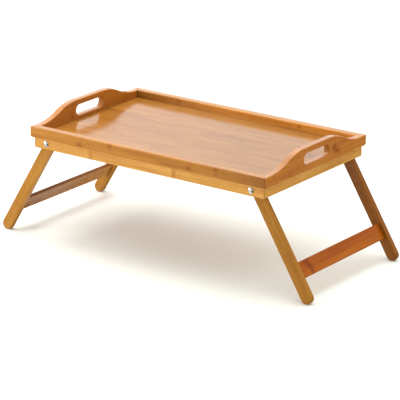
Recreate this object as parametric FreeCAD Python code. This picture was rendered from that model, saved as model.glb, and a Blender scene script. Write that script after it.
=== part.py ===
import FreeCAD, Part
import math
import os

# Folding bed tray table in laminated bamboo, millimetres.
# +X runs along the tray, +Y from the front rail to the back rail, +Z up.
# Origin: centre of the footprint, on the surface the four feet stand on.

os.makedirs("parts", exist_ok=True)
V = FreeCAD.Vector

# ---------------------------------------------------------------- dimensions
TRAY_L = 500.0          # tray length over the end panels
TRAY_W = 306.0          # tray width over the front and back rails
RIM_H = 20.0            # height of the upper rim rails
RIM_T = 15.0            # thickness of the front and back rim rails
END_T = 12.5            # thickness of the end panels
PANEL_T = 4.0           # tray board thickness
PANEL_DROP = 13.5       # rim top down to the board's upper face
GROOVE = 3.0            # depth of the groove that holds the board
TONGUE_T = 2.8          # thickness of the tongue round the board's edge
FIELD_GAP = 0.3         # raised field of the board to the rim, for swelling
CREST_H = 22.5          # rise of the end panels above the rim
CREST_FLAT = 38.0       # half length of the level crest
CREST_FOOT = 136.0      # half length over the whole crest
CREST_HOLLOW = 120.0    # radius of the hollow part of the S curve
HOLD_HALF = 38.5        # half length of the hand-hold slot
HOLD_R = 9.5            # half height of the slot, and its end radius
HOLD_UP = 2.5           # slot centre above the rim top
EDGE_R = 2.0            # rounding of the rim's upper edges and of the slot
UNDER_R = 3.5           # rounding of the rim's lower outer edges

SETBACK = 5.0           # apron set back from the rim on all four sides
APRON_H = 19.0          # apron rail height
APRON_T = 9.5           # apron rail thickness
APRON_R = 3.0           # rounding of the apron's lower outer edges

PIVOT_X = 218.0         # leg pivots, each side of the middle
PIVOT_DROP = 28.2       # rim top down to the pivot axis
SPLAY = 31.3            # leg angle from the vertical when open, degrees
LEG_REACH = 200.0       # pivot axis to the centre of the rounded foot
LEG_W = 20.0            # leg width in the plane it swings in
LEG_T = 11.5            # leg thickness along the pivot axis
LEG_GAP = 1.0           # apron rail to leg, taken up by the spacer washer
LEG_R = 1.6             # rounding along the leg's long edges

BAR_FROM = 140.0        # crossbar's upper edge, measured down the leg
BAR_W = 29.0            # crossbar width along the leg
BAR_T = 7.0             # crossbar thickness
BAR_R = 1.4             # rounding along the crossbar's edges

SLEEVE_R = 3.0          # pivot sleeve outer radius
SLEEVE_BORE_R = 2.0     # threaded bore of the sleeve
HEAD_R = 5.6            # domed head radius
HEAD_RIM = 0.6          # straight part of the head
HEAD_DOME = 2.3         # height of the dome
RUN_FIT = 0.08          # radial clearance of the leg on its sleeve
STOP_GAP = 0.3          # leg edge to the stop chamfer when open

# ------------------------------------------------------------ derived levels
S = math.radians(SPLAY)
LEG_END_R = LEG_W / 2.0
Z_PIVOT = LEG_REACH * math.cos(S) + LEG_END_R
Z_TOP = Z_PIVOT + PIVOT_DROP            # top of the rim
Z_RIM = Z_TOP - RIM_H                   # underside of the rim
Z_APRON = Z_RIM - APRON_H               # underside of the apron
Z_BOARD = Z_TOP - PANEL_DROP            # upper face of the tray board
HX, HY = TRAY_L / 2.0, TRAY_W / 2.0
AX, AY = HX - SETBACK, HY - SETBACK     # outer faces of the apron
LEG_OUT = AY - APRON_T - LEG_GAP        # leg's outer face, from the middle
LEG_IN = LEG_OUT - LEG_T                # leg's inner face


def box(x0, x1, y0, y1, z0, z1):
    return Part.makeBox(x1 - x0, y1 - y0, z1 - z0, V(x0, y0, z0))


def rod(r, p, d, length):
    return Part.makeCylinder(r, length, V(*p), V(*d))


def near(a, b, tol=0.01):
    return abs(a - b) < tol


def single(shape):
    shape = shape.removeSplitter()
    if len(shape.Solids) == 1:
        return shape.Solids[0]
    return shape


def save(name, shapes):
    shape = shapes[0] if len(shapes) == 1 else Part.makeCompound(shapes)
    for s in shape.Solids:
        if not s.isValid():
            print("INVALID", name)
    print("%-24s solids %d  volume %.1f" % (name, len(shape.Solids), shape.Volume))
    shape.exportStep("parts/%s.step" % name)


# --------------------------------------------------------- upper rim of the tray
def end_profile(x0, x1):
    """End panel outline: level rim at the corners, an S curve up to the crest."""
    w = CREST_FOOT - CREST_FLAT
    turn = 2.0 * math.atan2(CREST_H, w)       # slope where the two arcs meet
    r_lo = CREST_HOLLOW
    r_up = w / math.sin(turn) - r_lo
    mid_y = CREST_FOOT - r_lo * math.sin(turn)
    mid_z = Z_TOP + r_lo * (1 - math.cos(turn))
    a = turn / 2.0
    up = (CREST_FLAT + r_up * math.sin(a), Z_TOP + CREST_H - r_up * (1 - math.cos(a)))
    lo = (CREST_FOOT - r_lo * math.sin(a), Z_TOP + r_lo * (1 - math.cos(a)))

    def p(y, z):
        return V(x0, y, z)

    edges = [
        Part.LineSegment(p(-HY, Z_RIM), p(-HY, Z_TOP)),
        Part.LineSegment(p(-HY, Z_TOP), p(-CREST_FOOT, Z_TOP)),
        Part.Arc(p(-CREST_FOOT, Z_TOP), p(-lo[0], lo[1]), p(-mid_y, mid_z)),
        Part.Arc(p(-mid_y, mid_z), p(-up[0], up[1]), p(-CREST_FLAT, Z_TOP + CREST_H)),
        Part.LineSegment(p(-CREST_FLAT, Z_TOP + CREST_H), p(CREST_FLAT, Z_TOP + CREST_H)),
        Part.Arc(p(CREST_FLAT, Z_TOP + CREST_H), p(up[0], up[1]), p(mid_y, mid_z)),
        Part.Arc(p(mid_y, mid_z), p(lo[0], lo[1]), p(CREST_FOOT, Z_TOP)),
        Part.LineSegment(p(CREST_FOOT, Z_TOP), p(HY, Z_TOP)),
        Part.LineSegment(p(HY, Z_TOP), p(HY, Z_RIM)),
        Part.LineSegment(p(HY, Z_RIM), p(-HY, Z_RIM)),
    ]
    wire = Part.Wire([e.toShape() for e in edges])
    return Part.Face(wire).extrude(V(x1 - x0, 0, 0))


ring = end_profile(HX - END_T, HX)
ring = ring.fuse(end_profile(-HX, -HX + END_T))
ring = ring.fuse(box(-HX + END_T - 1, HX - END_T + 1, -HY, -HY + RIM_T, Z_RIM, Z_TOP))
ring = ring.fuse(box(-HX + END_T - 1, HX - END_T + 1, HY - RIM_T, HY, Z_RIM, Z_TOP))
ring = single(ring)


def is_corner(e):
    pts = [v.Point for v in e.Vertexes]
    return (len(pts) == 2 and near(pts[0].x, pts[1].x) and near(pts[0].y, pts[1].y)
            and near(abs(pts[0].x), HX) and near(abs(pts[0].y), HY))


ring = ring.makeFillet(EDGE_R, [e for e in ring.Edges if is_corner(e)])


def loop_edges(shape, z):
    """Edges of the outer outline at level z, the rounded corners included."""
    out = []
    for e in shape.Edges:
        bb = e.BoundBox
        if not (near(bb.ZMin, z) and near(bb.ZMax, z)):
            continue
        if (near(abs(e.Vertexes[0].X), HX) or near(abs(e.Vertexes[0].Y), HY)) and \
           (near(abs(e.Vertexes[-1].X), HX) or near(abs(e.Vertexes[-1].Y), HY)):
            out.append(e)
    return out


ring = ring.makeFillet(UNDER_R, loop_edges(ring, Z_RIM))
top = []
for e in ring.Edges:
    bb = e.BoundBox
    if bb.ZMin < Z_TOP - 0.01:
        continue
    # cross edges between neighbouring faces of the crest are not rounded
    if near(bb.XMax - bb.XMin, END_T, 0.05) and near(bb.YMin, bb.YMax):
        continue
    top.append(e)
ring = ring.makeFillet(EDGE_R, top)


def hold_cutter():
    """Rounded slot through both end panels."""
    z = Z_TOP + HOLD_UP
    h = HOLD_HALF - HOLD_R
    c = box(-HX - 5, HX + 5, -h, h, z - HOLD_R, z + HOLD_R)
    c = c.fuse(rod(HOLD_R, (-HX - 5, -h, z), (1, 0, 0), TRAY_L + 10))
    c = c.fuse(rod(HOLD_R, (-HX - 5, h, z), (1, 0, 0), TRAY_L + 10))
    return single(c)


ring = ring.cut(hold_cutter())
hold_edges = []
for e in ring.Edges:
    bb = e.BoundBox
    if near(bb.XMin, bb.XMax) and (near(abs(bb.XMin), HX) or near(abs(bb.XMin), HX - END_T)):
        z = Z_TOP + HOLD_UP
        if bb.ZMin > z - HOLD_R - 0.05 and bb.ZMax < z + HOLD_R + 0.05 and \
           bb.YMin > -HOLD_HALF - 0.05 and bb.YMax < HOLD_HALF + 0.05:
            hold_edges.append(e)
ring = ring.makeFillet(EDGE_R, hold_edges)

# groove for the tray board's tongue, all the way round the inside of the rim
ring = ring.cut(box(-HX + END_T - GROOVE, HX - END_T + GROOVE,
                    -HY + RIM_T - GROOVE, HY - RIM_T + GROOVE,
                    Z_BOARD - PANEL_T, Z_BOARD - PANEL_T + TONGUE_T))

# corner pins: thin headless pins driven along X through each mitre
PIN_R = 0.9
PIN_IN, PIN_OUT = HX - 26.0, HX - 2.5
pin_list = []
for sx in (-1, 1):
    for sy in (-1, 1):
        for dz in (5.0, 10.0):
            x0 = PIN_IN if sx > 0 else -PIN_OUT
            pin_list.append(rod(PIN_R, (x0, sy * (HY - 8.0), Z_TOP - dz), (1, 0, 0), PIN_OUT - PIN_IN))
ring = ring.cut(Part.makeCompound(pin_list))

# wood screws from below, through the long apron rails into the rim
SCREW_X = (-150.0, 0.0, 150.0)
SCREW_Y = HY - RIM_T + GROOVE + 1.65
SCREW_R = 1.45
SCREW_HEAD_R = 2.9
SCREW_TIP = Z_TOP - 9.0
SCREW_BOTTOM = Z_APRON + 0.6


def wood_screw(x, y):
    """Countersunk screw with a cross recess, head down, tip up."""
    pts = [V(0, 0, SCREW_BOTTOM), V(SCREW_HEAD_R, 0, SCREW_BOTTOM),
           V(SCREW_HEAD_R, 0, SCREW_BOTTOM + 0.35), V(SCREW_R, 0, SCREW_BOTTOM + 1.9),
           V(SCREW_R, 0, SCREW_TIP - 4.0), V(0.35, 0, SCREW_TIP), V(0, 0, SCREW_TIP)]
    prof = Part.Face(Part.makePolygon(pts + [pts[0]]))
    s = prof.revolve(V(0, 0, 0), V(0, 0, 1), 360)
    s.translate(V(x, y, 0))
    cross = box(x - 1.7, x + 1.7, y - 0.4, y + 0.4, SCREW_BOTTOM - 1, SCREW_BOTTOM + 1.2)
    cross = cross.fuse(box(x - 0.4, x + 0.4, y - 1.7, y + 1.7, SCREW_BOTTOM - 1, SCREW_BOTTOM + 1.2))
    return s.cut(cross)


def screw_hole(x, y):
    pts = [V(0, 0, Z_APRON - 2), V(SCREW_HEAD_R + 0.1, 0, Z_APRON - 2),
           V(SCREW_HEAD_R + 0.1, 0, SCREW_BOTTOM + 0.35), V(SCREW_R, 0, SCREW_BOTTOM + 2.0),
           V(SCREW_R, 0, SCREW_TIP - 4.0), V(0.35, 0, SCREW_TIP), V(0, 0, SCREW_TIP)]
    prof = Part.Face(Part.makePolygon(pts + [pts[0]]))
    s = prof.revolve(V(0, 0, 0), V(0, 0, 1), 360)
    s.translate(V(x, y, 0))
    return s


screws = [wood_screw(x, sy * SCREW_Y) for x in SCREW_X for sy in (-1, 1)]
screw_holes = Part.makeCompound([screw_hole(x, sy * SCREW_Y) for x in SCREW_X for sy in (-1, 1)])
ring = ring.cut(screw_holes)

# the rim is cut into its four boards by mitres from outer to inner corner


def mitre_cell(kind, sign, hx, hy, tx, ty, z0, z1):
    """Prism that holds one board of a frame, bounded by the two mitre planes."""
    jx, jy = hx - tx * 1.1, hy - ty * 1.1
    ox, oy = hx + tx * 0.5, hy + ty * 0.5
    if kind == "end":
        pts = [(jx, -jy), (ox, -oy), (ox, oy), (jx, jy)]
        pts = [(sign * a, b) for a, b in pts]
    else:
        pts = [(-ox, oy), (ox, oy), (jx, jy), (-jx, jy)]
        pts = [(a, sign * b) for a, b in pts]
    vs = [V(a, b, z0) for a, b in pts]
    return Part.Face(Part.makePolygon(vs + [vs[0]])).extrude(V(0, 0, z1 - z0))


RIM = (HX, HY, END_T, RIM_T, Z_RIM - 5, Z_TOP + CREST_H + 15)
left_end = single(ring.common(mitre_cell("end", -1, *RIM)))
right_end = left_end.copy()
right_end.rotate(V(0, 0, 0), V(0, 0, 1), 180)
front_rim = single(ring.common(mitre_cell("long", -1, *RIM)))
back_rim = front_rim.copy()
back_rim.rotate(V(0, 0, 0), V(0, 0, 1), 180)

save("left_end_panel", [left_end])
save("right_end_panel", [right_end])
save("front_rim_rail", [front_rim])
save("back_rim_rail", [back_rim])
save("rim_corner_pins", pin_list)

field_x, field_y = HX - END_T - FIELD_GAP, HY - RIM_T - FIELD_GAP
board = box(-HX + END_T - GROOVE, HX - END_T + GROOVE, -HY + RIM_T - GROOVE,
            HY - RIM_T + GROOVE, Z_BOARD - PANEL_T, Z_BOARD - PANEL_T + TONGUE_T)
board = single(board.fuse(box(-field_x, field_x, -field_y, field_y, Z_BOARD - PANEL_T, Z_BOARD)))
save("tray_board", [board])

# ------------------------------------------------------------------- apron frame
apron = box(-AX, AX, -AY, AY, Z_APRON, Z_RIM)
apron = apron.makeFillet(2.5, [e for e in apron.Edges
                               if near(e.BoundBox.ZMax - e.BoundBox.ZMin, APRON_H)])
apron = apron.makeFillet(APRON_R, [e for e in apron.Edges
                                   if near(e.BoundBox.ZMin, Z_APRON) and near(e.BoundBox.ZMax, Z_APRON)])
apron = apron.cut(box(-AX + APRON_T, AX - APRON_T, -AY + APRON_T, AY - APRON_T, Z_APRON - 1, Z_RIM + 1))


def stop_chamfer(sx):
    """Wedge off the inner lower edge of an end rail, parallel to the open leg."""
    n = (math.cos(S), math.sin(S))
    d = LEG_END_R + STOP_GAP
    pts = []
    for dz in (12.0, -20.0):
        dx = (d - n[1] * dz) / n[0]
        pts.append((PIVOT_X + dx, Z_PIVOT + dz))
    pts.append((PIVOT_X - 5, Z_PIVOT - 20.0))
    pts.append((PIVOT_X - 5, Z_PIVOT + 12.0))
    y1 = AY - APRON_T
    vs = [V(sx * a, -y1, b) for a, b in pts]
    return Part.Face(Part.makePolygon(vs + [vs[0]])).extrude(V(0, 2 * y1, 0))


apron = apron.cut(stop_chamfer(1)).cut(stop_chamfer(-1))

# two short dowels square to each mitre
DOWEL_R = 1.5
DOWEL_L = 8.0
corner_dowels = []
for sx in (-1, 1):
    for sy in (-1, 1):
        d = (sx * math.sqrt(0.5), -sy * math.sqrt(0.5), 0)
        cx, cy = sx * (AX - APRON_T / 2.0), sy * (AY - APRON_T / 2.0)
        for dz in (6.0, 13.0):
            p = (cx - d[0] * DOWEL_L / 2.0, cy - d[1] * DOWEL_L / 2.0, Z_APRON + dz)
            corner_dowels.append(rod(DOWEL_R, p, d, DOWEL_L))
apron = apron.cut(Part.makeCompound(corner_dowels)).cut(screw_holes)
for sx in (-1, 1):
    apron = apron.cut(rod(SLEEVE_R + 0.02, (sx * PIVOT_X, -AY - 5, Z_PIVOT), (0, 1, 0), 2 * AY + 10))

# the apron is four boards too, mitred at its corners
LOWER = (AX, AY, APRON_T, APRON_T, Z_APRON - 2, Z_RIM + 2)
left_apron = single(apron.common(mitre_cell("end", -1, *LOWER)))
right_apron = left_apron.copy()
right_apron.rotate(V(0, 0, 0), V(0, 0, 1), 180)
front_apron = single(apron.common(mitre_cell("long", -1, *LOWER)))
back_apron = front_apron.copy()
back_apron.rotate(V(0, 0, 0), V(0, 0, 1), 180)
save("left_apron_rail", [left_apron])
save("right_apron_rail", [right_apron])
save("front_apron_rail", [front_apron])
save("back_apron_rail", [back_apron])
save("apron_corner_dowels", corner_dowels)
save("apron_screws", screws)


# -------------------------------------------------------------------------- legs
def leg_solid(sx, sy):
    """Flat bar with both ends rounded, in its open position."""
    y0 = -LEG_OUT if sy < 0 else LEG_IN
    r = LEG_END_R
    pts_face = Part.Wire([
        Part.LineSegment(V(r, y0, 0), V(r, y0, -LEG_REACH)).toShape(),
        Part.Arc(V(r, y0, -LEG_REACH), V(0, y0, -LEG_REACH - r), V(-r, y0, -LEG_REACH)).toShape(),
        Part.LineSegment(V(-r, y0, -LEG_REACH), V(-r, y0, 0)).toShape(),
        Part.Arc(V(-r, y0, 0), V(0, y0, r), V(r, y0, 0)).toShape(),
    ])
    s = Part.Face(pts_face).extrude(V(0, LEG_T, 0))
    s = s.makeFillet(LEG_R, [e for e in s.Edges if near(e.BoundBox.YMin, e.BoundBox.YMax)])
    s = s.cut(rod(SLEEVE_R + RUN_FIT, (0, y0 - 1, 0), (0, 1, 0), LEG_T + 2))
    return s


def place(s, sx):
    """Splay a part drawn with its leg hanging straight down from the origin."""
    s = s.copy()
    s.rotate(V(0, 0, 0), V(0, 1, 0), -sx * SPLAY)
    s.translate(V(sx * PIVOT_X, 0, Z_PIVOT))
    return s


BAR_DOWEL_R = 2.0
BAR_DOWEL_AT = (BAR_FROM + 7.5, BAR_FROM + BAR_W - 7.5)
BAR_DOWEL_LEG, BAR_DOWEL_BAR = 8.0, 14.0


def bar_dowels():
    out = []
    for t in BAR_DOWEL_AT:
        for sy in (-1, 1):
            y_leg = LEG_IN + BAR_DOWEL_LEG
            y_bar = LEG_IN - BAR_DOWEL_BAR
            y0 = y_bar if sy > 0 else -y_leg
            out.append(rod(BAR_DOWEL_R, (0, y0, -t), (0, 1, 0), y_leg - y_bar))
    return out


def crossbar_solid():
    s = box(-BAR_T / 2.0, BAR_T / 2.0, -LEG_IN, LEG_IN, -BAR_FROM - BAR_W, -BAR_FROM)
    long_edges = [e for e in s.Edges if near(e.BoundBox.YMax - e.BoundBox.YMin, 2 * LEG_IN, 0.1)]
    s = s.makeFillet(BAR_R, long_edges)
    return s.cut(Part.makeCompound(bar_dowels()))


for sx, side in ((-1, "left"), (1, "right")):
    for sy, end in ((-1, "front"), (1, "back")):
        leg = leg_solid(sx, sy).cut(Part.makeCompound(bar_dowels()))
        save("%s_%s_leg" % (side, end), [single(place(leg, sx))])
    save("%s_crossbar" % side, [single(place(crossbar_solid(), sx))])
    save("%s_crossbar_dowels" % side, [place(d, sx) for d in bar_dowels()])

# ---------------------------------------------------------------- pivot fasteners
WASHER_T = 0.7          # spacer between apron rail and leg
NUT_WASHER_T = 0.9      # washer under the inner screw head
NUT_GAP = 0.3           # leg's inner face to that washer
SLEEVE_END = LEG_IN - NUT_GAP - NUT_WASHER_T + 0.2


def along(profile, sx, sy):
    """Revolve a profile of (radius, distance out from the middle) pairs about the pivot axis."""
    vs = [V(r, y, 0) for r, y in profile]
    f = Part.Face(Part.makePolygon(vs + [vs[0]]))
    s = f.revolve(V(0, 0, 0), V(0, 1, 0), 360)
    if sy < 0:
        s = s.mirror(V(0, 0, 0), V(0, 1, 0))
    s.translate(V(sx * PIVOT_X, 0, Z_PIVOT))
    return s


def sleeve(sx, sy):
    """Domed sleeve nut: head on the apron's outer face, tube through rail and leg."""
    a = AY
    r_s = (HEAD_R ** 2 + HEAD_DOME ** 2) / (2 * HEAD_DOME)
    c = a + HEAD_RIM + HEAD_DOME - r_s
    half = math.asin(HEAD_R / r_s) / 2.0
    e = [
        Part.LineSegment(V(SLEEVE_BORE_R, SLEEVE_END, 0), V(SLEEVE_R, SLEEVE_END, 0)),
        Part.LineSegment(V(SLEEVE_R, SLEEVE_END, 0), V(SLEEVE_R, a, 0)),
        Part.LineSegment(V(SLEEVE_R, a, 0), V(HEAD_R, a, 0)),
        Part.LineSegment(V(HEAD_R, a, 0), V(HEAD_R, a + HEAD_RIM, 0)),
        Part.Arc(V(HEAD_R, a + HEAD_RIM, 0), V(r_s * math.sin(half), c + r_s * math.cos(half), 0),
                 V(0, a + HEAD_RIM + HEAD_DOME, 0)),
        Part.LineSegment(V(0, a + HEAD_RIM + HEAD_DOME, 0), V(0, a - 3.0, 0)),
        Part.LineSegment(V(0, a - 3.0, 0), V(SLEEVE_BORE_R, a - 3.0, 0)),
        Part.LineSegment(V(SLEEVE_BORE_R, a - 3.0, 0), V(SLEEVE_BORE_R, SLEEVE_END, 0)),
    ]
    f = Part.Face(Part.Wire([x.toShape() for x in e]))
    s = f.revolve(V(0, 0, 0), V(0, 1, 0), 360)
    if sy < 0:
        s = s.mirror(V(0, 0, 0), V(0, 1, 0))
    s.translate(V(sx * PIVOT_X, 0, Z_PIVOT))
    return s


def pivot_screw(sx, sy):
    """Pan-head screw from the inside, threaded into the sleeve."""
    face = LEG_IN - NUT_GAP - NUT_WASHER_T
    r, h = 5.0, 2.6
    prof = [(0, face - h), (r - 1.6, face - h), (r - 0.5, face - h + 0.55), (r, face - h + 1.5),
            (r, face), (SLEEVE_BORE_R - 0.02, face), (SLEEVE_BORE_R - 0.02, AY - 8.0), (0, AY - 8.0)]
    s = along(prof, sx, sy)
    y = sy * (face - h)
    x0 = sx * PIVOT_X
    d = 1.3
    y0, y1 = (y - 1, y + d) if sy > 0 else (y - d, y + 1)
    cross = box(x0 - 2.4, x0 + 2.4, y0, y1, Z_PIVOT - 0.55, Z_PIVOT + 0.55)
    cross = cross.fuse(box(x0 - 0.55, x0 + 0.55, y0, y1, Z_PIVOT - 2.4, Z_PIVOT + 2.4))
    return s.cut(cross)


def washer(sx, sy, y_in, t, r_out, r_in):
    return along([(r_in, y_in), (r_out, y_in), (r_out, y_in + t), (r_in, y_in + t)], sx, sy)


corners = [(sx, sy) for sx in (-1, 1) for sy in (-1, 1)]
save("pivot_sleeve_nuts", [sleeve(*c) for c in corners])
save("pivot_screws", [pivot_screw(*c) for c in corners])
save("leg_spacer_washers", [washer(c[0], c[1], AY - APRON_T - WASHER_T, WASHER_T, 6.5, SLEEVE_R + 0.05)
                            for c in corners])
save("pivot_screw_washers", [washer(c[0], c[1], LEG_IN - NUT_GAP - NUT_WASHER_T, NUT_WASHER_T,
                                    6.5, SLEEVE_R + 0.05) for c in corners])
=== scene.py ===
import math

import bpy
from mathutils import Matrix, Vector

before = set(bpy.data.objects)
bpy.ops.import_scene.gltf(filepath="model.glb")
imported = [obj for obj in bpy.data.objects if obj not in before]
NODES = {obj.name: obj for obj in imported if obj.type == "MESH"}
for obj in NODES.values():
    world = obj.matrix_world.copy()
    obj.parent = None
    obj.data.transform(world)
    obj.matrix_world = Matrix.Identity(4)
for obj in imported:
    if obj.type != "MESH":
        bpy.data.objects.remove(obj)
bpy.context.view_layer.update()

# Folding bed tray table in lacquered, laminated bamboo. Metres, z up, feet on z = 0.
SPLAY = math.radians(31.3)          # legs from the vertical when open
PIVOT = (0.218, 0.0, 0.18089)       # leg pivot, each side of the middle


# ------------------------------------------------------------------ material writer
class Net:
    """Writes a node material as plain expressions."""

    def __init__(self, name):
        self.mat = bpy.data.materials.new(name)
        self.mat.use_nodes = True
        self.t = self.mat.node_tree
        self.t.nodes.clear()
        self.out = self.t.nodes.new("ShaderNodeOutputMaterial")

    def new(self, kind, **props):
        n = self.t.nodes.new(kind)
        for k, v in props.items():
            setattr(n, k, v)
        return n

    def put(self, socket, value):
        if isinstance(value, bpy.types.NodeSocket):
            self.t.links.new(value, socket)
        else:
            socket.default_value = value

    def m(self, op, *args, clamp=False):
        n = self.new("ShaderNodeMath", operation=op, use_clamp=clamp)
        for i, a in enumerate(args):
            self.put(n.inputs[i], a)
        return n.outputs[0]

    def add(self, *args):
        total = args[0]
        for a in args[1:]:
            total = self.m("ADD", total, a)
        return total

    def mul(self, *args):
        total = args[0]
        for a in args[1:]:
            total = self.m("MULTIPLY", total, a)
        return total

    def v(self, op, a, b=None, scale=None):
        n = self.new("ShaderNodeVectorMath", operation=op)
        self.put(n.inputs[0], a)
        if b is not None:
            self.put(n.inputs[1], b)
        if scale is not None:
            self.put(n.inputs["Scale"], scale)
        return n.outputs["Value"] if op in ("DOT_PRODUCT", "LENGTH", "DISTANCE") else n.outputs["Vector"]

    def xyz(self, x, y, z):
        n = self.new("ShaderNodeCombineXYZ")
        for i, a in enumerate((x, y, z)):
            self.put(n.inputs[i], a)
        return n.outputs[0]

    def noise(self, vec, scale=1.0, detail=2.0, rough=0.5, distort=0.0):
        n = self.new("ShaderNodeTexNoise", noise_dimensions="3D")
        self.put(n.inputs["Vector"], vec)
        n.inputs["Scale"].default_value = scale
        n.inputs["Detail"].default_value = detail
        n.inputs["Roughness"].default_value = rough
        n.inputs["Distortion"].default_value = distort
        return n.outputs["Fac"]

    def voronoi(self, vec, scale=1.0, randomness=1.0):
        n = self.new("ShaderNodeTexVoronoi", voronoi_dimensions="3D", feature="F1")
        self.put(n.inputs["Vector"], vec)
        n.inputs["Scale"].default_value = scale
        n.inputs["Randomness"].default_value = randomness
        return n.outputs["Distance"]

    def white(self, vec):
        n = self.new("ShaderNodeTexWhiteNoise", noise_dimensions="3D")
        self.put(n.inputs["Vector"], vec)
        return n.outputs["Value"]

    def step(self, x, lo, hi, a=0.0, b=1.0):
        n = self.new("ShaderNodeMapRange", interpolation_type="SMOOTHSTEP")
        self.put(n.inputs["Value"], x)
        n.inputs["From Min"].default_value = lo
        n.inputs["From Max"].default_value = hi
        n.inputs["To Min"].default_value = a
        n.inputs["To Max"].default_value = b
        return n.outputs["Result"]

    def ramp(self, fac, stops):
        n = self.new("ShaderNodeValToRGB")
        r = n.color_ramp
        while len(r.elements) < len(stops):
            r.elements.new(0.5)
        for e, (p, c) in zip(r.elements, stops):
            e.position = p
            e.color = (c[0], c[1], c[2], 1.0)
        self.put(n.inputs[0], fac)
        return n.outputs["Color"]

    def mix(self, fac, a, b, blend="MIX"):
        n = self.new("ShaderNodeMix", data_type="RGBA", blend_type=blend, clamp_factor=True)
        self.put(n.inputs[0], fac)
        for i, c in ((6, a), (7, b)):
            self.put(n.inputs[i], c if isinstance(c, bpy.types.NodeSocket) else (c[0], c[1], c[2], 1.0))
        return n.outputs[2]

    def bump(self, height, strength, distance, normal=None):
        n = self.new("ShaderNodeBump")
        n.inputs["Strength"].default_value = strength
        n.inputs["Distance"].default_value = distance
        self.put(n.inputs["Height"], height)
        if normal is not None:
            self.put(n.inputs["Normal"], normal)
        return n.outputs["Normal"]

    def shader(self, color, rough, normal=None, **fixed):
        p = self.new("ShaderNodeBsdfPrincipled")
        self.put(p.inputs["Base Color"], color if isinstance(color, bpy.types.NodeSocket)
                 else (color[0], color[1], color[2], 1.0))
        self.put(p.inputs["Roughness"], rough)
        if normal is not None:
            self.put(p.inputs["Normal"], normal)
        for k, val in fixed.items():
            p.inputs[k.replace("_", " ")].default_value = val
        self.put(self.out.inputs["Surface"], p.outputs[0])
        return self.mat

    def place(self):
        return self.new("ShaderNodeTexCoord").outputs["Object"]

    def facing(self):
        return self.new("ShaderNodeTexCoord").outputs["Normal"]


def scaled(c, k):
    return tuple(min(1.0, x * k) for x in c)


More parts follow.
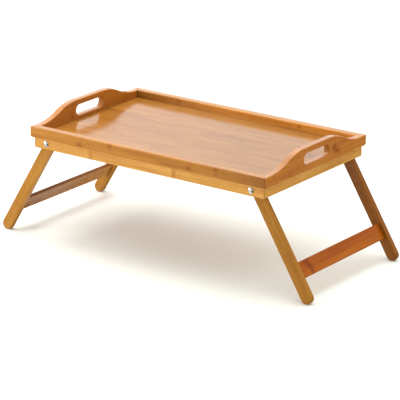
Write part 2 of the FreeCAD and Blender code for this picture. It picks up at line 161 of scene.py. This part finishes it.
def bamboo(name, origin, grain, across, through, tone, strip=(0.0, 20.0), layer=(0.0, 5.0), marks=(), bands=(),
           pitch=0.0, seed=0.0, contrast=1.35, tones=(0.78, 1.18), gloss=(0.20, 0.32), streak_mm=4.0,
           seams=(), shade=(), shade_side=None, sides=(), faces=(), spec=0.5, dull=None, coat=0.0, strip_k=0.10, spots=0.28):
    """Laminated bamboo under clear lacquer.

    grain, across and through are the directions of the fibres, of the strips' width and of their
    thickness. marks are soft dark spots left by the nodes of the cane, as (along the grain, across,
    half length, half width, strength) in mm. bands are thin cross lines at a node, as (along the
    grain, strength). pitch spaces further faint nodes at random places. seams are (point, normal)
    planes of glued joints. shade is a list of (place along the grain in mm, tone factor) of painted
    light and shade, on the faces that look along shade_side, and sides the same across the grain for
    strips of a different tone. faces is a list of (direction, tone factor) of painted shade on the
    faces turned that way. dull is (direction, specular level) of a face that was planed but not polished."""
    n = Net(name)
    p = n.v("SUBTRACT", n.place(), origin)
    u = n.v("DOT_PRODUCT", p, tuple(1000.0 * a for a in grain))
    v = n.v("DOT_PRODUCT", p, tuple(1000.0 * a for a in across))
    w = n.v("DOT_PRODUCT", p, tuple(1000.0 * a for a in through))

    # the strip each point belongs to, and how far it is from the strip's edges
    sv = n.m("DIVIDE", n.m("SUBTRACT", v, strip[0]), strip[1])
    sw = n.m("DIVIDE", n.m("SUBTRACT", w, layer[0]), layer[1])
    iv, iw = n.m("FLOOR", sv), n.m("FLOOR", sw)
    fv, fw = n.m("FRACT", sv), n.m("FRACT", sw)
    r1 = n.white(n.xyz(iv, iw, seed + 0.5))
    r2 = n.white(n.xyz(iv, iw, seed + 7.5))
    shift = n.mul(r2, 613.0)
    edge_v = n.mul(n.m("MINIMUM", fv, n.m("SUBTRACT", 1.0, fv)), strip[1])
    edge_w = n.mul(n.m("MINIMUM", fw, n.m("SUBTRACT", 1.0, fw)), layer[1])
    joint = n.m("SUBTRACT", 1.0, n.step(n.m("MINIMUM", edge_v, edge_w), 0.04, 0.26))

    # fibres: they run with the grain and wander a little from it
    us = n.add(u, shift)
    wander = n.mul(n.m("SUBTRACT", n.noise(n.xyz(n.mul(us, 0.006), n.mul(v, 0.02), seed), detail=1.0), 0.5), 3.0)
    vv, ww = n.add(v, wander), n.add(w, wander)
    fine = n.noise(n.xyz(n.mul(us, 0.014), n.mul(vv, 1.3), n.mul(ww, 1.3)), detail=3.0, rough=0.65)
    broad = n.noise(n.xyz(n.mul(us, 0.0045), n.mul(vv, 1.0 / streak_mm), n.mul(ww, 1.0 / streak_mm)), detail=2.0, rough=0.55)
    cloud = n.noise(n.xyz(n.mul(us, 0.011), n.mul(v, 0.04), n.mul(w, 0.04)), detail=2.0)
    dash = n.step(n.noise(n.xyz(n.mul(us, 0.050), n.mul(vv, 2.6), n.mul(ww, 2.6)), detail=1.0), 0.60, 0.74)

    tone_t = n.add(0.5,
                   n.mul(n.m("SUBTRACT", fine, 0.5), 0.9 * contrast),
                   n.mul(n.m("SUBTRACT", broad, 0.5), 1.1 * contrast),
                   n.mul(n.m("SUBTRACT", cloud, 0.5), 0.7 * contrast),
                   n.mul(n.m("SUBTRACT", r1, 0.5), 2.0 * strip_k))
    dark, light = scaled(tone, tones[0]), scaled(tone, tones[1])
    dark = (dark[0], dark[1] * 0.90, dark[2] * 0.80)
    light = (light[0], min(1.0, light[1] * 1.05), min(1.0, light[2] * 1.10))
    col = n.ramp(tone_t, ((0.12, dark), (0.5, tone), (0.88, light)))
    umber = (tone[0] * 0.42, tone[1] * 0.28, tone[2] * 0.30)
    rust = (tone[0] * 0.62, tone[1] * 0.46, tone[2] * 0.42)
    col = n.mix(n.mul(dash, spots), col, rust)

    # nodes of the cane: soft spots where the fibres knot, and a thin ragged line across the strip
    ragged = n.mul(n.m("SUBTRACT", n.noise(n.xyz(n.mul(v, 0.45), n.mul(w, 0.45), seed + 3.0), detail=2.0), 0.5), 2.6)
    grainy = n.step(fine, 0.35, 0.62, 0.55, 1.0)
    lines = None
    for mu, mv, ru, rv, k in marks:
        d = n.v("LENGTH", n.xyz(n.m("DIVIDE", n.add(n.m("SUBTRACT", u, mu), ragged), ru),
                                n.m("DIVIDE", n.m("SUBTRACT", v, mv), rv), 0.0))
        col = n.mix(n.mul(n.step(d, 0.0, 1.7, 1.0, 0.0), grainy, min(1.0, k * 0.95)), col, rust)
        col = n.mix(n.mul(n.step(d, 0.0, 0.85, 1.0, 0.0), min(1.0, k * 0.75)), col, umber)
    for bu, k in bands:
        d = n.add(n.m("SUBTRACT", u, bu), ragged)
        a = n.m("ABSOLUTE", d)
        line = n.step(a, 0.8, 3.4, 1.0, 0.0)
        before = n.mul(n.step(d, -16.0, -9.0), n.step(d, -7.0, -3.0, 1.0, 0.0))
        col = n.mix(n.mul(n.step(a, 1.0, 8.0, 1.0, 0.0), 0.20 * k), col, rust)
        col = n.mix(n.mul(line, 0.42 * k), col, rust)
        col = n.mix(n.mul(before, 0.30 * k), col, light)
        lines = n.mul(line, k) if lines is None else n.m("MAXIMUM", lines, n.mul(line, k))
    if pitch:
        f = n.m("FRACT", n.add(n.m("DIVIDE", u, pitch), n.mul(r2, 5.37), n.mul(r1, 3.11)))
        d = n.add(n.mul(n.m("SUBTRACT", f, 0.5), pitch), ragged)
        a = n.m("ABSOLUTE", d)
        line = n.step(a, 0.4, 1.6, 1.0, 0.0)
        patchy = n.step(n.noise(n.xyz(n.mul(u, 0.10), n.mul(v, 0.30), n.mul(w, 0.30)), detail=2.0), 0.35, 0.65, 0.3, 1.0)
        col = n.mix(n.mul(n.step(a, 0.5, 6.0, 1.0, 0.0), patchy, 0.22), col, rust)
        col = n.mix(n.mul(line, patchy, 0.30), col, rust)
        lines = n.mul(line, 0.5) if lines is None else n.m("MAXIMUM", lines, n.mul(line, 0.5))

    # glue lines between strips
    col = n.mix(n.mul(joint, 0.22), col, rust)

    # slow changes of tone: painted light and shade along the grain, and strips of a different tone across it
    for axis, table in ((u, shade), (v, sides)):
        if table:
            lo, hi = table[0][0], table[-1][0]
            t = n.m("DIVIDE", n.m("SUBTRACT", axis, lo), hi - lo, clamp=True)
            stops = []
            for s, k in table:
                k = k if isinstance(k, tuple) else (k, k, k)
                stops.append(((s - lo) / (hi - lo), tuple(0.5 * c for c in k)))
            toned = n.mix(1.0, n.mix(1.0, col, n.ramp(t, stops), "MULTIPLY"), (2.0, 2.0, 2.0), "MULTIPLY")
            if shade_side is None or table is sides:
                col = toned
            else:
                col = n.mix(n.step(n.v("DOT_PRODUCT", n.facing(), shade_side), 0.35, 0.85), col, toned)

    # painted shade: faces turned one way made darker or paler, as (direction, tone factor)
    for side, factor in faces:
        col = n.mix(n.step(n.v("DOT_PRODUCT", n.facing(), side), 0.55, 0.90), col, n.mix(1.0, col, factor, "MULTIPLY"))

    # end grain: cut fibre bundles show as dark dots in a paler ground
    turn = n.m("ABSOLUTE", n.v("DOT_PRODUCT", n.facing(), grain))
    ends = n.step(turn, 0.62, 0.93)
    dots = n.step(n.voronoi(n.xyz(n.mul(v, 1.15), n.mul(w, 1.15), seed)), 0.16, 0.36, 1.0, 0.0)
    dots = n.mul(dots, n.step(n.noise(n.xyz(n.mul(v, 0.4), n.mul(w, 0.4), seed + 1.0)), 0.35, 0.6, 0.35, 1.0))
    cut = n.mix(n.mul(dots, 0.75), scaled(tone, 0.80), umber)
    col = n.mix(ends, col, cut)

    # thin dark lines where boards are glued together at a mitre
    line_at = None
    for point, normal in seams:
        away = n.v("SUBTRACT", n.place(), point)
        d = n.m("ABSOLUTE", n.v("DOT_PRODUCT", away, tuple(1000.0 * a for a in normal)))
        corner = n.step(n.v("LENGTH", n.v("MULTIPLY", away, (1000.0, 1000.0, 0.0))), 22.0, 24.0, 1.0, 0.0)
        s = n.mul(n.step(d, 0.15, 0.80, 1.0, 0.0), corner)
        line_at = s if line_at is None else n.m("MAXIMUM", line_at, s)
    if line_at is not None:
        col = n.mix(n.mul(line_at, 0.80), col, scaled(umber, 0.7))

    smear = n.noise(n.v("SCALE", p, scale=38.0), detail=3.0, rough=0.6)
    rough = n.add(n.step(smear, 0.3, 0.7, gloss[0], gloss[1]), n.mul(n.m("SUBTRACT", fine, 0.5), 0.05), n.mul(ends, 0.15))
    height = n.add(n.mul(fine, 0.5), n.mul(dash, -0.5), n.mul(joint, -0.8))
    if lines is not None:
        height = n.add(height, n.mul(lines, 0.7))
    if line_at is not None:
        height = n.add(height, n.mul(line_at, -2.0))
    normal = n.bump(height, 0.30, 0.00008)
    n.shader(col, rough, normal, Specular_IOR_Level=spec, Coat_Roughness=0.10, Coat_IOR=1.5, IOR=1.5)
    principled = n.out.inputs["Surface"].links[0].from_node
    if dull:
        n.put(principled.inputs["Specular IOR Level"],
              n.step(n.v("DOT_PRODUCT", n.facing(), dull[0]), 0.55, 0.90, spec, dull[1]))
    if coat:
        # the top edges are rubbed and lacquered once more
        up = n.step(n.v("DOT_PRODUCT", n.facing(), (0, 0, 1)), 0.45, 0.95)
        n.put(principled.inputs["Coat Weight"], n.mul(up, coat))
    return n.mat


# ------------------------------------------------------------------------ bamboo parts
X, Y, Z = (1, 0, 0), (0, 1, 0), (0, 0, 1)
S, C = math.sin(SPLAY), math.cos(SPLAY)
LEFT_DOWN, LEFT_OUT = (-S, 0, -C), (-C, 0, S)
RIGHT_DOWN, RIGHT_OUT = (S, 0, -C), (C, 0, S)
Z_RIM, Z_TOP, Z_APRON = 0.18909, 0.20909, 0.17009


def mitres(hx, hy, tx, ty):
    """Glue planes of the four corners, from inner to outer corner."""
    out = []
    length = math.hypot(tx, ty)
    for sx in (-1, 1):
        for sy in (-1, 1):
            out.append(((sx * hx, sy * hy, 0.0), (sx * ty / length, -sy * tx / length, 0.0)))
    return out


RIM_SEAMS = mitres(0.250, 0.153, 0.0125, 0.015)
APRON_SEAMS = mitres(0.245, 0.148, 0.0095, 0.0095)

RIM_TONE = (0.480, 0.200, 0.029)
END_TONE = (0.470, 0.172, 0.026)
APRON_TONE = (0.690, 0.348, 0.075)
LEG_TONE_L = (0.450, 0.198, 0.023)
# painted shade: the right legs take a darker copy of the left legs' tone for the lesser light on that side, and the
# back right leg a darker one still for the shade under the tray
LEG_TONE_R_PAINTED_SHADE = (0.395, 0.166, 0.013)
LEG_TONE_BR_PAINTED_SHADE = (0.265, 0.088, 0.005)
BAR_TONE = (0.365, 0.084, 0.004)
BAR_TONE_L = (0.370, 0.155, 0.036)
BOARD_TONE = (0.345, 0.150, 0.031)
RIM = dict(strip=(0, 20), layer=(0, 5), seams=RIM_SEAMS, spec=0.22, coat=0.35)
END = dict(strip=(0, 21.2), layer=(0, 6.25), seams=RIM_SEAMS, spec=0.22, coat=0.65)
APRON = dict(strip=(0, 19), layer=(0, 4.75), seams=APRON_SEAMS, spec=0.22, coat=0.35)
LEG = dict(strip=(-10, 20), layer=(0, 5.75), spec=0.25)
BAR = dict(strip=(139, 19.5), layer=(-3.5, 7), spec=0.25)

LOOKS = {
    "front_rim_rail": bamboo("bamboo_front_rim", (0, -0.153, Z_RIM), X, Z, Y, RIM_TONE, seed=1.0, **RIM,
                             marks=((-141, 6.0, 7, 4.2, 0.8), (-74, 15.4, 5.0, 3.6, 0.9), (-72, 11.0, 6, 3.0, 0.4), (93, 7.6, 7, 4.0, 0.9),
                                    (88, 12.5, 3, 2.0, 0.5), (150, 15.8, 4.0, 2.8, 1.0), (152, 9.0, 5, 2.6, 0.4)),
                             bands=((-137, 0.35), (-74, 0.2), (95, 0.4), (150, 0.35)), shade_side=(0, -1, 0),
                             # painted shade: the front face darkens towards the right end, where less light reaches it
                             shade=((-250, 1.0), (20, 1.0), (120, 0.95), (175, 0.84), (225, (0.66, 0.60, 0.60)), (250, (0.62, 0.56, 0.56)))),
    "back_rim_rail": bamboo("bamboo_back_rim", (0, 0.138, Z_RIM), X, Z, Y, RIM_TONE, seed=2.0, **RIM,
                            marks=((-143, 14.6, 5, 3.0, 0.8), (120, 13.4, 4.5, 3.2, 0.9)), bands=((-143, 0.3), (120, 0.3)), shade_side=(0, -1, 0),
                            # painted shade: the inner face darker at the left end in the corner by the end panel, and
                            # painted light brighter towards the right
                            shade=((-250, 0.72), (-200, 0.82), (-140, 1.06), (-60, 1.34), (60, 1.45), (250, 1.48))),
    "left_end_panel": bamboo("bamboo_left_end", (-0.250, 0, Z_RIM), Y, Z, X, END_TONE, seed=3.0, **END,
                             marks=((-50, 13.0, 4.5, 3.0, 1.0), (-54, 22.0, 4.5, 3.5, 0.5), (96, 8.0, 5, 4, 0.5)), bands=((-50, 0.3),)),
    "right_end_panel": bamboo("bamboo_right_end", (0.2375, 0, Z_RIM), Y, Z, X, END_TONE, seed=4.0, **END,
                              marks=((52, 22.0, 9.0, 8.0, 1.0), (62, 14.0, 9.0, 5.5, 1.0), (-78, 4.8, 3.5, 2.6, 0.85),
                                     (-78, 13.0, 4, 3.0, 0.25), (-128, 16.1, 5, 3.0, 0.45)), bands=((54, 0.3), (-78, 0.25))),
    "front_apron_rail": bamboo("bamboo_front_apron", (0, -0.148, Z_APRON), X, Z, Y, APRON_TONE, seed=5.0, **APRON,
                               marks=((-119, 5.5, 4.0, 4.5, 0.6), (-119, 12.5, 4.0, 4.5, 0.45), (59, 6.0, 4.0, 5.0, 0.6), (60, 13.0, 3.5, 4.0, 0.45)),
                               bands=((-120, 0.8), (59, 1.0))),
    "back_apron_rail": bamboo("bamboo_back_apron", (0, 0.1385, Z_APRON), X, Z, Y, APRON_TONE, seed=6.0, **APRON,
                              marks=((30, 6.0, 4, 3, 0.6),), bands=((-170, 0.8), (30, 0.7), (196, 0.8))),
    "left_apron_rail": bamboo("bamboo_left_apron", (-0.245, 0, Z_APRON), Y, Z, X, APRON_TONE, seed=7.0, **APRON,
                              bands=((-20, 0.8),)),
    "right_apron_rail": bamboo("bamboo_right_apron", (0.2355, 0, Z_APRON), Y, Z, X, scaled(APRON_TONE, 0.88), seed=8.0, **APRON,
                               marks=((122, 15.0, 3, 2.5, 0.8),), bands=((74, 0.4),)),
    "tray_board": bamboo("bamboo_board", (0, -0.141, 0.19159), X, Y, Z, BOARD_TONE, (0, 19.5), (-1, 8), seed=9.0,
                         pitch=310.0, gloss=(0.11, 0.17), streak_mm=3.0, contrast=1.5, strip_k=0.10, spec=0.47, spots=0.45,
                         # painted reflection: the left end of the board warmer and more orange, a painted reflection
                         # of the left end panel; slightly darker at the right end
                         shade=((-240, (1.12, 1.04, 0.75)), (-150, (1.08, 1.03, 0.9)), (-40, 1.0), (240, 0.96))),
    "left_front_leg": bamboo("bamboo_left_front_leg", (-PIVOT[0], -0.1375, PIVOT[2]), LEFT_DOWN, LEFT_OUT, Y, LEG_TONE_L,
                             seed=10.0, **LEG, bands=((150, 0.4),)),
    "left_back_leg": bamboo("bamboo_left_back_leg", (-PIVOT[0], 0.126, PIVOT[2]), LEFT_DOWN, LEFT_OUT, Y, LEG_TONE_L,
                            seed=11.0, **LEG, bands=((88, 0.4),)),
    "right_front_leg": bamboo("bamboo_right_front_leg", (PIVOT[0], -0.1375, PIVOT[2]), RIGHT_DOWN, RIGHT_OUT, Y, LEG_TONE_R_PAINTED_SHADE,
                              seed=12.0, **LEG, bands=((122, 0.4),)),
    "right_back_leg": bamboo("bamboo_right_back_leg", (PIVOT[0], 0.126, PIVOT[2]), RIGHT_DOWN, RIGHT_OUT, Y, LEG_TONE_BR_PAINTED_SHADE,
                             seed=13.0, **LEG, bands=((64, 0.4),)),
    "left_crossbar": bamboo("bamboo_left_bar", (-PIVOT[0], 0, PIVOT[2]), Y, LEFT_DOWN, LEFT_OUT, BAR_TONE_L,
                            seed=14.0, **{**BAR, "spec": 0.60}, contrast=0.9, spots=0.15, dull=((S, 0, C), 0.08),
                            # painted light: the bar paler and bluer towards the back
                            shade=((-130, 1.0), (-50, 1.0), (90, (1.45, 1.6, 1.7)), (130, (1.45, 1.6, 1.7))),
                            # painted shade: the upward edge darkened, a painted dark reflection
                            faces=(((S, 0, C), (0.42, 0.34, 0.32)),)),
    "right_crossbar": bamboo("bamboo_right_bar", (PIVOT[0], 0, PIVOT[2]), Y, RIGHT_DOWN, RIGHT_OUT, BAR_TONE,
                             seed=15.0, **{**BAR, "spec": 0.18}, bands=((-93, 0.8),),
                             marks=((-101, 144.0, 9, 7, 1.0), (-98, 148.0, 7, 6, 1.0), (-95, 153.0, 6, 6, 1.0), (-92, 162.0, 6, 7, 1.0)),
                             sides=((139, 1.0), (155, 1.0), (160, (1.10, 1.28, 1.2)), (169, (1.10, 1.28, 1.2)))),
}


# --------------------------------------------------------------- fasteners and dowels
def polished_steel():
    n = Net("polished_steel")
    p = n.place()
    fog = n.noise(n.v("SCALE", p, scale=420.0), detail=3.0, rough=0.6)
    scuff = n.step(n.noise(n.v("MULTIPLY", p, (2600.0, 2600.0, 500.0)), detail=2.0), 0.62, 0.72)
    col = n.mix(fog, (0.84, 0.82, 0.77), (0.93, 0.91, 0.87))
    rough = n.add(n.step(fog, 0.3, 0.7, 0.05, 0.13), n.mul(scuff, 0.08))
    return n.shader(col, rough, n.bump(n.add(fog, n.mul(scuff, 0.4)), 0.08, 0.00005), Metallic=1.0)


def zinc_steel():
    n = Net("zinc_steel")
    p = n.place()
    fog = n.noise(n.v("SCALE", p, scale=300.0), detail=3.0, rough=0.6)
    tint = n.noise(n.v("SCALE", p, scale=90.0), detail=2.0)
    col = n.mix(fog, (0.48, 0.49, 0.50), (0.66, 0.66, 0.65))
    col = n.mix(n.mul(n.step(tint, 0.45, 0.75), 0.30), col, (0.62, 0.56, 0.40))
    return n.shader(col, n.step(fog, 0.3, 0.7, 0.24, 0.42), n.bump(fog, 0.15, 0.00006), Metallic=1.0)


def nylon():
    n = Net("nylon_washer")
    p = n.place()
    fog = n.noise(n.v("SCALE", p, scale=500.0), detail=3.0)
    col = n.mix(fog, (0.70, 0.68, 0.62), (0.82, 0.80, 0.74))
    return n.shader(col, n.step(fog, 0.3, 0.7, 0.40, 0.58), n.bump(fog, 0.2, 0.00005))


def beech(name, axis, across, through):
    n = Net(name)
    p = n.place()
    u = n.v("DOT_PRODUCT", p, tuple(1000.0 * a for a in axis))
    v = n.v("DOT_PRODUCT", p, tuple(1000.0 * a for a in across))
    w = n.v("DOT_PRODUCT", p, tuple(1000.0 * a for a in through))
    fine = n.noise(n.xyz(n.mul(u, 0.08), n.mul(v, 2.2), n.mul(w, 2.2)), detail=3.0, rough=0.6)
    fleck = n.step(n.noise(n.xyz(n.mul(u, 0.5), n.mul(v, 3.5), n.mul(w, 3.5)), detail=1.0), 0.6, 0.72)
    col = n.ramp(fine, ((0.2, (0.42, 0.24, 0.12)), (0.55, (0.60, 0.38, 0.20)), (0.85, (0.70, 0.48, 0.28))))
    col = n.mix(n.mul(fleck, 0.4), col, (0.30, 0.15, 0.07))
    return n.shader(col, n.step(fine, 0.2, 0.8, 0.55, 0.70), n.bump(fine, 0.4, 0.0001))


STEEL, ZINC = polished_steel(), zinc_steel()
LOOKS["pivot_sleeve_nuts"] = STEEL
for name in ("pivot_screws", "pivot_screw_washers", "apron_screws", "rim_corner_pins"):
    LOOKS[name] = ZINC
LOOKS["leg_spacer_washers"] = nylon()
LOOKS["apron_corner_dowels"] = beech("beech_corner_dowels", (math.sqrt(0.5), math.sqrt(0.5), 0), (math.sqrt(0.5), -math.sqrt(0.5), 0), Z)
BAR_DOWEL_LOOK = beech("beech_bar_dowels", Y, X, Z)
LOOKS["left_crossbar_dowels"] = BAR_DOWEL_LOOK
LOOKS["right_crossbar_dowels"] = BAR_DOWEL_LOOK

for name, obj in NODES.items():
    look = LOOKS[name]
    if not obj.material_slots:
        obj.data.materials.append(look)
    for slot in obj.material_slots:
        slot.material = look


# ------------------------------------------------------------------------------ stage
def floor_look():
    n = Net("floor_white")
    tone = n.noise(n.v("SCALE", n.place(), scale=3.0), detail=2.0)
    col = n.mix(tone, (0.880, 0.912, 0.885), (0.897, 0.930, 0.903))
    return n.shader(col, 0.9, Specular_IOR_Level=0.1)


def make_floor():
    """Seamless white table top that the feet stand on: a disc round the feet, and the sweep around it,
    which the lacquer doesn't mirror."""
    look = floor_look()
    count, inner, outer = 96, 0.30, 16.0
    ring = [(math.cos(2 * math.pi * k / count), math.sin(2 * math.pi * k / count)) for k in range(count)]
    near = bpy.data.meshes.new("floor_near")
    near.from_pydata([(inner * x, inner * y, 0) for x, y in ring], [], [tuple(range(count))])
    far = bpy.data.meshes.new("floor_far")
    far.from_pydata([(r * x, r * y, 0) for r in (inner, outer) for x, y in ring], [],
                    [(k, (k + 1) % count, count + (k + 1) % count, count + k) for k in range(count)])
    for mesh in (near, far):
        mesh.materials.append(look)
        floor = bpy.data.objects.new(mesh.name, mesh)
        bpy.context.scene.collection.objects.link(floor)
        floor.visible_glossy = mesh is near


make_floor()

scene = bpy.context.scene
scene.view_settings.view_transform = "Standard"
scene.view_settings.look = "None"
scene.view_settings.exposure = 0.0
scene.view_settings.gamma = 1.0

world = bpy.data.worlds.new("studio")
world.use_nodes = True
scene.world = world


def sky(cap, mid, low, down):
    """Light from all round. cap is the brightness overhead; mid, low and down are tables of the
    brightness at 30 to 60 degrees, at 0 to 30 degrees and below the horizon, every 60 degrees of azimuth,
    counted counter-clockwise from +X."""
    t = world.node_tree
    t.nodes.clear()

    def new(kind, **props):
        node = t.nodes.new(kind)
        for k, v in props.items():
            setattr(node, k, v)
        return node

    def feed(socket, value):
        if isinstance(value, bpy.types.NodeSocket):
            t.links.new(value, socket)
        else:
            socket.default_value = value

    def m(op, *args):
        node = new("ShaderNodeMath", operation=op)
        for i, a in enumerate(args):
            feed(node.inputs[i], a)
        return node.outputs[0]

    split = new("ShaderNodeSeparateXYZ")
    feed(split.inputs[0], new("ShaderNodeTexCoord").outputs["Generated"])
    x, y, z = split.outputs[0], split.outputs[1], split.outputs[2]
    turn = m("ADD", m("DIVIDE", m("ARCTAN2", y, x), 2 * math.pi), 0.5)

    def band(table):
        node = new("ShaderNodeValToRGB")
        node.color_ramp.interpolation = "LINEAR"
        els = node.color_ramp.elements
        while len(els) < 7:
            els.new(0.5)
        for k in range(7):
            els[k].position = k / 6.0
            c = table[(k + 3) % 6]
            c = c if isinstance(c, tuple) else (c, c, c)
            els[k].color = (c[0] * 0.125, c[1] * 0.125, c[2] * 0.125, 1.0)
        feed(node.inputs[0], turn)
        return node.outputs[0]

    def blend(lo, hi, a, b):
        node = new("ShaderNodeMapRange", interpolation_type="SMOOTHSTEP")
        feed(node.inputs["Value"], z)
        node.inputs["From Min"].default_value = lo
        node.inputs["From Max"].default_value = hi
        mix = new("ShaderNodeMix", data_type="RGBA")
        feed(mix.inputs[0], node.outputs["Result"])
        feed(mix.inputs[6], a)
        feed(mix.inputs[7], b)
        return mix.outputs[2]

    c = cap if isinstance(cap, tuple) else (cap, cap, cap)
    light = blend(-0.03, 0.03, band(down),
                  blend(math.sin(math.radians(20)), math.sin(math.radians(38)), band(low),
                        blend(math.sin(math.radians(52)), math.sin(math.radians(70)), band(mid),
                              (c[0] * 0.125, c[1] * 0.125, c[2] * 0.125, 1.0))))
    background = new("ShaderNodeBackground")
    feed(background.inputs["Color"], light)
    background.inputs["Strength"].default_value = 8.0
    feed(new("ShaderNodeOutputWorld").inputs["Surface"], background.outputs[0])


sky(1.85, ((2.22, 2.15, 1.80), 0.50, 2.30, 0.60, 0.30, 0.35), ((1.00, 0.93, 0.70), (0.70, 0.68, 0.60), 1.20, 2.60, 1.10, (0.38, 0.36, 0.28)),
    (0.05, 0.05, 0.15, 0.50, 0.80, 0.10))


def area(name, place, target, size, power, color=(1, 1, 1)):
    data = bpy.data.lights.new(name, "AREA")
    data.shape = "RECTANGLE"
    data.size, data.size_y = size
    data.energy = power
    data.color = color
    lamp = bpy.data.objects.new(name, data)
    lamp.location = place
    lamp.rotation_mode = "QUATERNION"
    lamp.rotation_quaternion = (Vector(target) - Vector(place)).to_track_quat("-Z", "Y")
    scene.collection.objects.link(lamp)
    return lamp


area("overhead_soft", (-0.50, -0.05, 1.50), (0.0, 0.0, 0.12), (0.6, 0.6), 6.3)
area("front_left_soft", (-1.05, -0.95, 0.56), (0.0, 0.0, 0.12), (0.6, 0.6), 6.2)
area("back_soft", (0.0, 0.61, 1.47), (0.0, 0.0, 0.12), (0.6, 0.6), 2.6)

# ----------------------------------------------------------------------------- camera
AZ, EL = math.radians(36.246), math.radians(18.527)
right = Vector((math.cos(AZ), math.sin(AZ), 0.0))
back = Vector((math.sin(AZ) * math.cos(EL), -math.cos(AZ) * math.cos(EL), math.sin(EL)))
up = back.cross(right)
aim = Vector((0, 0, 0.120)) + right * 0.004653 - up * 0.036678
cam_data = bpy.data.cameras.new("camera")
cam_data.sensor_width = 36.0
cam_data.lens = 2556.7 / 400.0 * 36.0
cam_data.clip_start, cam_data.clip_end = 0.1, 60.0
cam = bpy.data.objects.new("camera", cam_data)
cam.rotation_mode = "QUATERNION"
cam.location = aim + back * 4.46375
cam.rotation_quaternion = (-back).to_track_quat("-Z", "Y")
scene.collection.objects.link(cam)
scene.camera = cam
